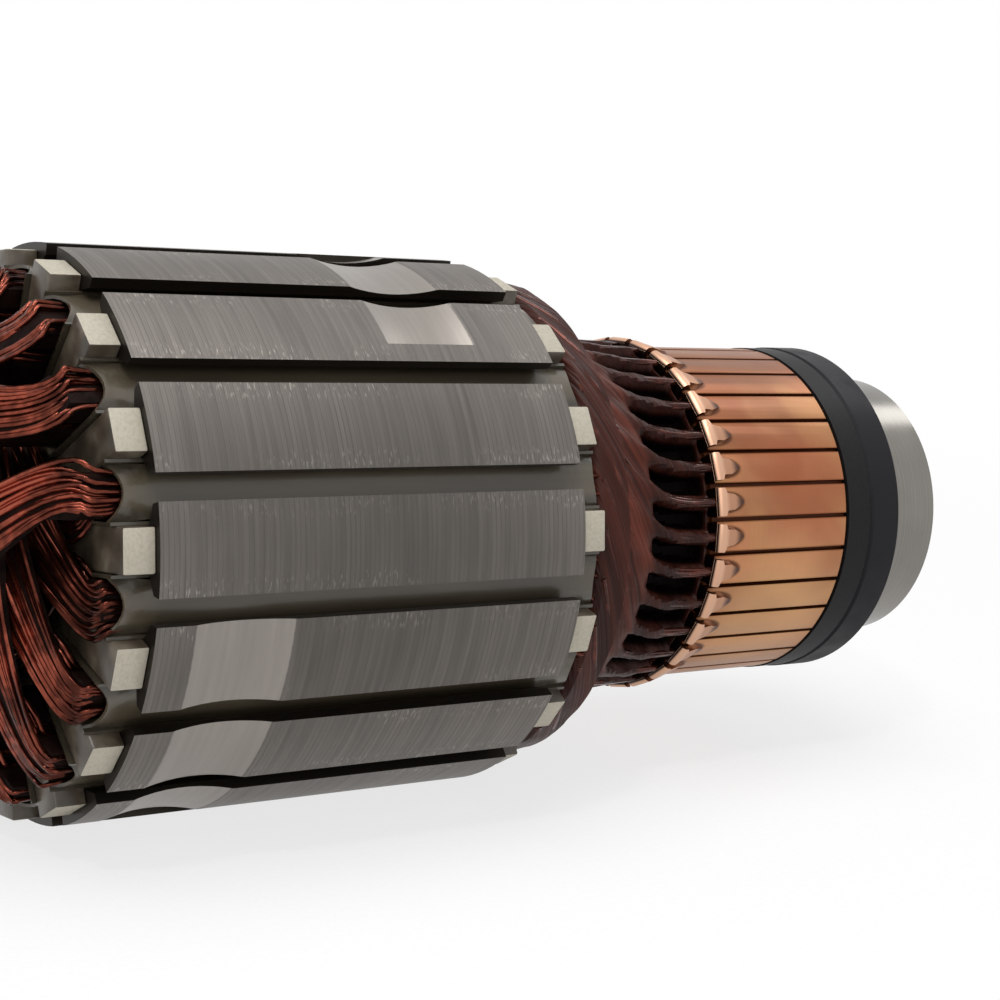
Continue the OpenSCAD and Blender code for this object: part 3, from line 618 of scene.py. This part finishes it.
def half_turn(end, angle, leg, turn, depth, thick):
    """Stations from a slot to the fan beside the shaft. Each gives a point for (a, b), where a runs
    across the coil and b through its thickness, both from -1 to 1."""
    middle, half = (leg[0] + leg[1]) / 2, (leg[1] - leg[0]) / 2
    reach = leg[0] - SEAT_GAP
    lean = math.acos(FAN_R / reach)
    foot = (math.cos(angle), math.sin(angle))
    tangent = angle + turn * lean
    fan = (math.cos(tangent), math.sin(tangent))

    def in_slot(out):
        def point(a, b):
            s = middle + half * b
            w = (slot_half(s) - LEG_SIDE_GAP) * a * turn
            return on_head(end, foot[0] * s - foot[1] * w, foot[1] * s + foot[0] * w, out)
        return point

    def bending(t):
        across = angle + turn * mix(math.pi / 2, lean, t)
        down = across - turn * math.pi / 2

        def point(a, b):
            w = mix(slot_half(middle + half * b) - LEG_SIDE_GAP, FAN_HALF_W * BEND_SHARE, eased(t)) * a
            out = math.cos(t * math.pi / 2) * (SEAT_GAP + half * (1 + b))
            y = foot[0] * reach + math.cos(across) * w + math.cos(down) * out
            z = foot[1] * reach + math.sin(across) * w + math.sin(down) * out
            return on_head(end, y, z, depth + math.sin(t * math.pi / 2) * (SEAT_GAP + thick * (1 + b)))
        return point

    def running(t):
        def point(a, b):
            w = mix(FAN_HALF_W * BEND_SHARE, FAN_HALF_W * RUN_SHARE, t) * a
            y = mix(foot[0] * reach, fan[0] * FAN_R, t) + fan[0] * w
            z = mix(foot[1] * reach, fan[1] * FAN_R, t) + fan[1] * w
            return on_head(end, y, z, depth + SEAT_GAP + thick * (1 + b))
        return point

    stations = [in_slot(mix(1.0 * MM, depth, i / 3)) for i in range(3)]
    stations += [bending(i / 6) for i in range(7)]
    stations += [running(i / 8) for i in range(1, 8)]
    return stations, tangent


def end_turn(end, m):
    """All stations of coil m's turn across one end of the core."""
    k = m % LAYERS
    depth = CUFF + k * end["pitch"]
    thick = end["pitch"] * LAYER_FILL / 2
    first = LOWER_LEG if k < LAYERS - 1 else UPPER_LEG
    second = LOWER_LEG if k == 0 else UPPER_LEG
    out, t0 = half_turn(end, m * SLOT_STEP, first, 1, depth, thick)
    back, t1 = half_turn(end, (m + LAYERS - 1) * SLOT_STEP, second, -1, depth, thick)

    def passing(t):
        angle = mix(t0, t1, t)
        w = mix(FAN_HALF_W * RUN_SHARE, FAN_HALF_W, math.sin(math.pi * t))

        def point(a, b):
            r = FAN_R + w * a
            y, z = math.cos(angle) * r, math.sin(angle) * r
            return on_head(end, y, z, depth + SEAT_GAP + thick * (1 + b))
        return point

    return out + [passing(i / 8) for i in range(9)] + back[::-1]


def relaxed(path, rounds=2):
    """A path pulled taut between its neighbours, with its ends kept."""
    for _ in range(rounds):
        inner = [(path[i - 1] + 2 * path[i] + path[i + 1]) / 4 for i in range(1, len(path) - 1)]
        path = [path[0], *inner, path[-1]]
    return path


def strand(stations, a0, a1, b, wander, phase):
    """One wire of a coil: it drifts from a0 to a1 across the coil, and wanders a little."""
    held_across, held_deep = 0.72, 0.78
    path = []
    last = len(stations) - 1
    for i, station in enumerate(stations):
        t = i / last
        # The slot holds the wires together, so they spread only past its mouth
        free = eased(clamped(min(i, last - i) / 6))
        a = mix(a0, a1, eased(t)) + wander * math.sin(9 * t + phase)
        over = b + 0.12 * math.sin(13 * t + 2.3 * phase)
        path.append(station(a * mix(held_across, 1.0, free), mix(held_deep * b, over, free)))
    return relaxed(path)


def lead_radius(x):
    """Radius at which the leads lie over the winding, at a station."""
    depth = x - CORE_X1 - 1.2 * MM
    share = (depth - CUFF) / (OVERHANG - CUFF)
    cone = FAN_R + (UPPER_LEG[1] - FAN_R) * (1 - share) / (1 - ENDS["commutator"]["rim"])
    return max(TRACK_R + LEAD_LIFT, min(UPPER_LEG[1], cone) + 0.7 * MM)


def lead_lag(x):
    """Angle by which a lead is behind its hook, at a station past the winding."""
    t = clamped((x - LEAD_X1) / (LEAD_END - LEAD_X1))
    return LEAD_LAG * (1 - t) ** 3.5


def lead_route(angle, aside, above, phase):
    """One wire of the lead to the bar at an angle: aside is round the shaft and above is outwards."""
    path = []
    for i in range(15):
        t = i / 14
        x = mix(LEAD_X0, LEAD_X1, t)
        r = lead_radius(x) + above + 0.08 * MM * math.sin(5 * t + phase)
        path.append(polar(x, r, angle - LEAD_LAG - LEAD_SWEEP * (1 - t) + aside / r))
    for i in range(1, 10):
        x = mix(LEAD_X1, LEAD_END, i / 10)
        r = TRACK_R + mix(LEAD_LIFT, HOOK_LIFT, i / 10) + above
        path.append(polar(x, r, angle - lead_lag(x) + aside / TRACK_R))
    in_hook = polar(LEAD_END, TRACK_R + HOOK_LIFT + above * 0.6, angle + aside * 0.8 / TRACK_R)
    return [*relaxed(path), in_hook]


# ---- Settings ----


class ArmatureSizes(bpy.types.PropertyGroup):
    """Sizes of the laid-on detail."""

    wire_d: bpy.props.FloatProperty(
        name="Wire diameter", description="Diameter of one enamelled wire of the coils",
        default=0.48 * MM, min=0.2 * MM, max=0.8 * MM, subtype="DISTANCE", unit="LENGTH",
    )
    lead_wire_d: bpy.props.FloatProperty(
        name="Lead wire diameter", description="Diameter of one of the three wires of a lead",
        default=0.55 * MM, min=0.3 * MM, max=0.7 * MM, subtype="DISTANCE", unit="LENGTH",
    )
    row_wires: bpy.props.IntProperty(
        name="Wires in a row", description="Wires laid side by side in each row over a coil",
        default=6, min=4, max=10,
    )
    film_crown: bpy.props.FloatProperty(
        name="Film crown", description="Height to which the slot film arches up beyond the core",
        default=0.5 * MM, min=0.0, max=1.0 * MM, subtype="DISTANCE", unit="LENGTH",
    )


class ArmatureColours(bpy.types.PropertyGroup):
    """Colours of the finishes."""

    core: bpy.props.FloatVectorProperty(
        name="Core", description="Turned edges of the core's sheets",
        subtype="COLOR", size=4, default=linear("#6b6661"),
    )
    steel: bpy.props.FloatVectorProperty(
        name="Steel", description="Shaft, bush and bearing",
        subtype="COLOR", size=4, default=linear("#726f6a"),
    )
    cream: bpy.props.FloatVectorProperty(
        name="End insulation", description="Wiped faces of the end insulators",
        subtype="COLOR", size=4, default=linear("#b0a999"),
    )
    film: bpy.props.FloatVectorProperty(
        name="Slot film", description="Liners and closures under varnish",
        subtype="COLOR", size=4, default=linear("#4d4537"),
    )
    enamel: bpy.props.FloatVectorProperty(
        name="Wire enamel", description="Enamelled wire of the coils",
        subtype="COLOR", size=4, default=linear("#6a3427"),
    )
    varnish: bpy.props.FloatVectorProperty(
        name="Varnish", description="Thick varnish between the wires",
        subtype="COLOR", size=4, default=linear("#160c0a"),
    )
    copper: bpy.props.FloatVectorProperty(
        name="Commutator copper", description="Bars and hooks",
        subtype="COLOR", size=4, default=linear("#aa7350"),
    )
    moulding: bpy.props.FloatVectorProperty(
        name="Moulding", description="Body and end ring of the commutator",
        subtype="COLOR", size=4, default=linear("#151516"),
    )
    disc: bpy.props.FloatVectorProperty(
        name="Dust disc", description="Disc between commutator and bearing",
        subtype="COLOR", size=4, default=linear("#18171b"),
    )


# ---- Steps ----


# Each lamp's name, place, target, width in metres and power in watts
LAMPS = (
    ("top softbox", (-0.14, -0.06, 0.55), (-0.06, 0.0, 0.0), 0.40, 2.2),
    ("small bright lamp", (-0.30, -0.22, 0.46), (-0.06, 0.0, 0.0), 0.04, 0.5),
    ("front softbox", (-0.35, -0.60, 0.25), (-0.05, 0.0, 0.0), 0.35, 0.6),
    ("rear softbox", (0.42, 0.08, 0.43), (-0.01, 0.0, 0.0), 0.16, 0.3),
)
SOFT_LIGHT = 0.42
# The camera stands beside the drive end, a little above the shaft, and looks across the core
CAMERA_PLACE = Vector((-0.17660293, -0.18072814, 0.04849914))
CAMERA_RIGHT = Vector((0.82007182, -0.56132549, 0.11133688))
CAMERA_UP = Vector((0.02671136, 0.23189117, 0.97237492))
LENS_MM = 76.645


class SetStage(bpy.types.Operator):
    """Makes the pale floor, the soft lamps and the camera"""

    bl_idname = "armature_parts.set_stage"
    bl_label = "Set the stage"

    def execute(self, context):
        scene = context.scene
        scene.view_settings.view_transform = "Standard"
        mesh = bmesh.new()
        bmesh.ops.create_grid(mesh, x_segments=1, y_segments=1, size=3.0)
        bmesh.ops.translate(mesh, vec=(0.0, 0.0, -CORE_R), verts=mesh.verts)
        data = bpy.data.meshes.new("floor")
        mesh.to_mesh(data)
        mesh.free()
        floor = bpy.data.objects.new("floor", data)
        scene.collection.objects.link(floor)
        data.materials.append(white_card())

        world = bpy.data.worlds.new("studio")
        scene.world = world
        world.use_nodes = True
        world.node_tree.nodes.clear()
        add = partial(add_node, world.node_tree)
        # White where the camera and polished metal see it, and plain soft light on the object
        strength = add("MapRange", {0: seen_directly(add), 3: SOFT_LIGHT, 4: 1.0})
        light = add("Background", {"Color": linear("#ffffff"), "Strength": strength})
        add("OutputWorld", {0: light})

        for name, place, target, size, power in LAMPS:
            data = bpy.data.lights.new(name, "AREA")
            data.shape, data.size, data.energy = "SQUARE", size, power
            lamp = bpy.data.objects.new(name, data)
            aim = (Vector(target) - Vector(place)).to_track_quat("-Z", "Y")
            lamp.matrix_world = Matrix.Translation(place) @ aim.to_matrix().to_4x4()
            scene.collection.objects.link(lamp)

        camera = bpy.data.objects.new("camera", bpy.data.cameras.new("camera"))
        camera.data.sensor_width, camera.data.lens = 36.0, LENS_MM
        camera.data.clip_start, camera.data.clip_end = 0.01, 20.0
        axes = Matrix((CAMERA_RIGHT, CAMERA_UP, CAMERA_RIGHT.cross(CAMERA_UP)))
        camera.matrix_world = Matrix.Translation(CAMERA_PLACE) @ axes.transposed().to_4x4()
        scene.collection.objects.link(camera)
        scene.camera = camera
        return {"FINISHED"}


class FinishCore(bpy.types.Operator):
    """Gives the core and the shaft their steel, and the end insulators rounded blocks"""

    bl_idname = "armature_parts.finish_core"
    bl_label = "Finish core and shaft"

    def execute(self, context):
        colours = context.scene.armature_colours
        paint(lamination_steel(colours.core), "lamination_stack")
        paint(turned_steel("ground shaft steel", colours.steel, 0.32, 0.25), "shaft")
        cream = insulating_moulding(colours.cream)
        for node in ("end_insulator_drive", "end_insulator_commutator"):
            dress(node, cream, 0.22 * MM)
        return {"FINISHED"}


class LayFilm(bpy.types.Operator):
    """Lays the slot closures: flat in the core, arched and cut hollow at their free ends"""

    bl_idname = "armature_parts.lay_film"
    bl_label = "Lay the slot film"

    def execute(self, context):
        material = slot_film(context.scene.armature_colours.film)
        paint(material, "slot_liners")
        crown = context.scene.armature_sizes.film_crown
        # At its free ends the film is cut hollow, droops at its sides, and spreads
        hollow_depth, droop, spread = 1.3 * MM, 0.35 * MM, 0.25 * MM
        for m in range(SLOTS):
            chance = random.Random(FILM_SEED + m)
            mesh = bmesh.new()
            bmesh.ops.create_grid(mesh, x_segments=48, y_segments=8, size=1.0)
            skew = chance.uniform(-0.25, 0.25)
            for vertex in mesh.verts:
                v, u = vertex.co.x, vertex.co.y
                hollow = hollow_depth * (1 - u * u) * (1 + skew * u)
                x0, x1 = CLOSURE_X0 + hollow, CLOSURE_X1 - hollow * 0.5
                # Rows are closer together at both ends
                x = mix(x0, x1, (math.sin(v * math.pi / 2) + 1) / 2)
                out = max(CORE_X0 - x, x - CORE_X1) / (CORE_X0 - CLOSURE_X0)
                rise = clamped(out) ** 0.7
                r = CLOSURE_R + rise * (crown * (1 - u * u) - droop * u**4)
                angle = m * SLOT_STEP + u * (CLOSURE_HALF_W * 0.98 + rise * spread) / CLOSURE_R
                vertex.co = polar(x, r, angle)
            bmesh.ops.recalc_face_normals(mesh, faces=mesh.faces)
            middle = min(mesh.faces, key=lambda f: abs(f.calc_center_median().x - CORE_MIDDLE))
            if middle.normal.dot(polar(0.0, 1.0, m * SLOT_STEP)) < 0:
                bmesh.ops.reverse_faces(mesh, faces=mesh.faces)
            bmesh.ops.solidify(mesh, geom=mesh.faces, thickness=FILM_T)
            node = f"slot_closure_{m + 1:02d}"
            finish_piece(node + "_film", mesh, material, (node,), sharp_deg=50.0)
        return {"FINISHED"}


class WindCoils(bpy.types.Operator):
    """Lays the single wires over the coils at both ends of the core"""

    bl_idname = "armature_parts.wind_coils"
    bl_label = "Wind the coils"

    def execute(self, context):
        sizes, colours = context.scene.armature_sizes, context.scene.armature_colours
        material = enamelled_wire("varnished enamelled coil wire", colours.enamel, 0.9)
        coils = [f"coil_{m + 1:02d}" for m in range(SLOTS)]
        paint(impregnating_varnish(colours.varnish), *coils)
        for m, coil in enumerate(coils):
            chance = random.Random(COIL_SEED + m)
            paths = []
            for end in ENDS.values():
                stations = end_turn(end, m)
                for row in range(end["rows"]):
                    # The outermost row has one wire less, and every other row is shifted by half a wire
                    count = sizes.row_wires - (row == 0)
                    for i in range(count):
                        place = (i + 0.5 * (row % 2)) / (count - 0.5)
                        a0 = mix(-0.95, 0.95, place) + chance.uniform(-0.08, 0.08)
                        a1 = max(-1.02, min(1.02, a0 + chance.uniform(-0.9, 0.9)))
                        b = 1.36 - 0.3 * row + chance.uniform(-0.25, 0.2)
                        wander, phase = chance.uniform(0.03, 0.16), chance.uniform(0, 6.28)
                        paths.append(strand(stations, a0, a1, b, wander, phase))
            wires(coil + "_wires", paths, sizes.wire_d / 2, material)
        return {"FINISHED"}


class LayLeads(bpy.types.Operator):
    """Lays the leads from the winding to the hooks, and the varnish that floods them"""

    bl_idname = "armature_parts.lay_leads"
    bl_label = "Lay the leads"

    def execute(self, context):
        sizes, colours = context.scene.armature_sizes, context.scene.armature_colours
        chance = random.Random(LEAD_SEED)
        radius = sizes.lead_wire_d / 2
        paths = []
        for i in range(BARS):
            angle = (i + 0.5) * BAR_STEP
            # Two wires lie side by side, and the third on top between them
            for aside, above in ((-1.0, 0.0), (1.0, 0.0), (0.0, 0.45)):
                paths.append(lead_route(angle, aside * radius, above * radius, chance.uniform(0, 6.28)))
        material = enamelled_wire("varnish-soaked lead wire", shade(colours.enamel, 0.8), 0.6)
        wires("lead_wires_laid", paths, radius, material, ("lead_wires",))

        # The band's section: out of the winding's rim, over the leads, and down behind the hooks
        section = [(LEAD_X0 - 1.2 * MM, 23.4 * MM), (LEAD_X0 - 0.7 * MM, 24.4 * MM)]
        for i in range(13):
            x = mix(LEAD_X0, LEAD_X1, i / 12)
            section.append((x, lead_radius(x) + BAND_LIFT))
        # Down into the pits: mm past the winding, and radius in mm
        for ahead, r in ((0.8, 19.1), (1.6, 19.05), (2.2, 18.8), (2.7, 18.1), (3.1, 17.2), (3.6, 16.8)):
            section.append((LEAD_X1 + ahead * MM, r * MM))
        floor_x0, floor_x1 = section[-1][0], MOULD_X0 - 0.7 * MM
        section += [(mix(floor_x0, floor_x1, i / 6), PIT_R) for i in range(1, 7)]
        section += [(MOULD_X0 - 0.3 * MM, 17.3 * MM), (MOULD_X0 - 0.1 * MM, 18.3 * MM)]
        mesh = bmesh.new()
        verts = [mesh.verts.new((x, r, 0.0)) for x, r in section]
        edges = [mesh.edges.new(pair) for pair in zip(verts, verts[1:])]
        bmesh.ops.spin(
            mesh, geom=verts + edges, cent=(0, 0, 0), axis=(1, 0, 0), angle=math.tau, steps=BARS * 10,
            use_merge=True, use_duplicate=False,
        )
        bmesh.ops.remove_doubles(mesh, verts=mesh.verts, dist=WELD / 2)
        # Varnish clings to each lead behind its hook and leaves pits between, and is lumpy everywhere
        for vertex in mesh.verts:
            x, r = vertex.co.x, math.hypot(vertex.co.y, vertex.co.z)
            angle = math.atan2(vertex.co.z, vertex.co.y)
            near = 0.5 - 0.5 * math.cos((angle + lead_lag(x)) * BARS)
            web = eased(clamped((near - 0.25) / 0.6))
            crest = mix(*CREST_R, max(0.0, x - LEAD_X1 - 2.4 * MM) / (7.0 * MM))
            lump = math.sin(7 * angle + 400 * x) * math.sin(11 * angle - 900 * x)
            grown = r + web * max(0.0, crest - r) + (0.06 + 0.1 * web) * MM * lump
            vertex.co = Vector((x, vertex.co.y * grown / r, vertex.co.z * grown / r))
        bmesh.ops.recalc_face_normals(mesh, faces=mesh.faces)
        if mesh.faces[0].normal.dot(Vector((0, *mesh.faces[0].calc_center_median().yz))) < 0:
            bmesh.ops.reverse_faces(mesh, faces=mesh.faces)
        bmesh.ops.solidify(mesh, geom=mesh.faces, thickness=BAND_T)
        finish_piece("lead_band", mesh, lead_band_varnish(colours.enamel, colours.varnish))
        return {"FINISHED"}


class FinishCommutator(bpy.types.Operator):
    """Rounds the bars and hooks, and gives bars, moulding and bush their finishes"""

    bl_idname = "armature_parts.finish_commutator"
    bl_label = "Finish the commutator"

    def execute(self, context):
        colours = context.scene.armature_colours
        copper = commutator_copper(colours.copper)
        dress("commutator_bars", copper, 0.07 * MM, self.pinched)
        paint(commutator_moulding(colours.moulding), "commutator_moulding")
        paint(turned_steel("turned bush steel", shade(colours.steel, 0.8), 0.42, 0.3), "commutator_bush")
        return {"FINISHED"}

    @staticmethod
    def pinched(place):
        """A hook is broad at its bend, nearly as wide as its bar, and narrow along its lobe."""
        broad, narrow = 1.1, 0.74
        radius = math.hypot(place.y, place.z)
        if radius < TRACK_R + 0.02 * MM:
            return place
        angle = math.atan2(place.z, place.y)
        middle = (math.floor(angle / BAR_STEP) + 0.5) * BAR_STEP
        along = eased(clamped((place.x - BAR_X0 - 0.8 * MM) / (0.6 * MM)))
        return polar(place.x, radius, middle + (angle - middle) * mix(broad, narrow, along))


class FinishBearing(bpy.types.Operator):
    """Gives the dust disc and the ball bearing their finishes"""

    bl_idname = "armature_parts.finish_bearing"
    bl_label = "Finish disc and bearing"

    def execute(self, context):
        colours = context.scene.armature_colours
        paint(moulded_plastic("moulded nylon dust disc", colours.disc, 0.5, 0.14), "dust_disc")
        ring = turned_steel("ground bearing steel", shade(colours.steel, 1.25), 0.24, 0.2)
        paint(ring, "bearing_inner_ring", "bearing_outer_ring")
        paint(turned_steel("lapped ball steel", shade(colours.steel, 1.5), 0.08, 1.0), "bearing_balls")
        paint(moulded_plastic("moulded nylon ball cage", linear("#9a8154"), 0.45, 0.35), "bearing_cage")
        shield = turned_steel("pressed shield steel", shade(colours.steel, 0.9), 0.36, 0.3)
        paint(shield, "bearing_shield_inner", "bearing_shield_outer")
        return {"FINISHED"}


class ArmaturePanel(bpy.types.Panel):
    """Lists the steps in the sidebar."""

    bl_idname = "VIEW3D_PT_wound_armature"
    bl_label = "Wound armature"
    bl_space_type = "VIEW_3D"
    bl_region_type = "UI"
    bl_category = "Armature"

    def draw(self, context):
        for operator in STEPS:
            self.layout.operator(operator.bl_idname)


STEPS = (SetStage, FinishCore, LayFilm, WindCoils, LayLeads, FinishCommutator, FinishBearing)
CLASSES = (ArmatureSizes, ArmatureColours, *STEPS, ArmaturePanel)


def register():
    for cls in CLASSES:
        bpy.utils.register_class(cls)
    bpy.types.Scene.armature_sizes = bpy.props.PointerProperty(type=ArmatureSizes)
    bpy.types.Scene.armature_colours = bpy.props.PointerProperty(type=ArmatureColours)


def unregister():
    del bpy.types.Scene.armature_colours
    del bpy.types.Scene.armature_sizes
    for cls in reversed(CLASSES):
        bpy.utils.unregister_class(cls)


def main():
    """Makes everything in order."""
    register()
    for operator in STEPS:
        group, name = operator.bl_idname.split(".")
        getattr(getattr(bpy.ops, group), name)()


if __name__ == "__main__":
    main()
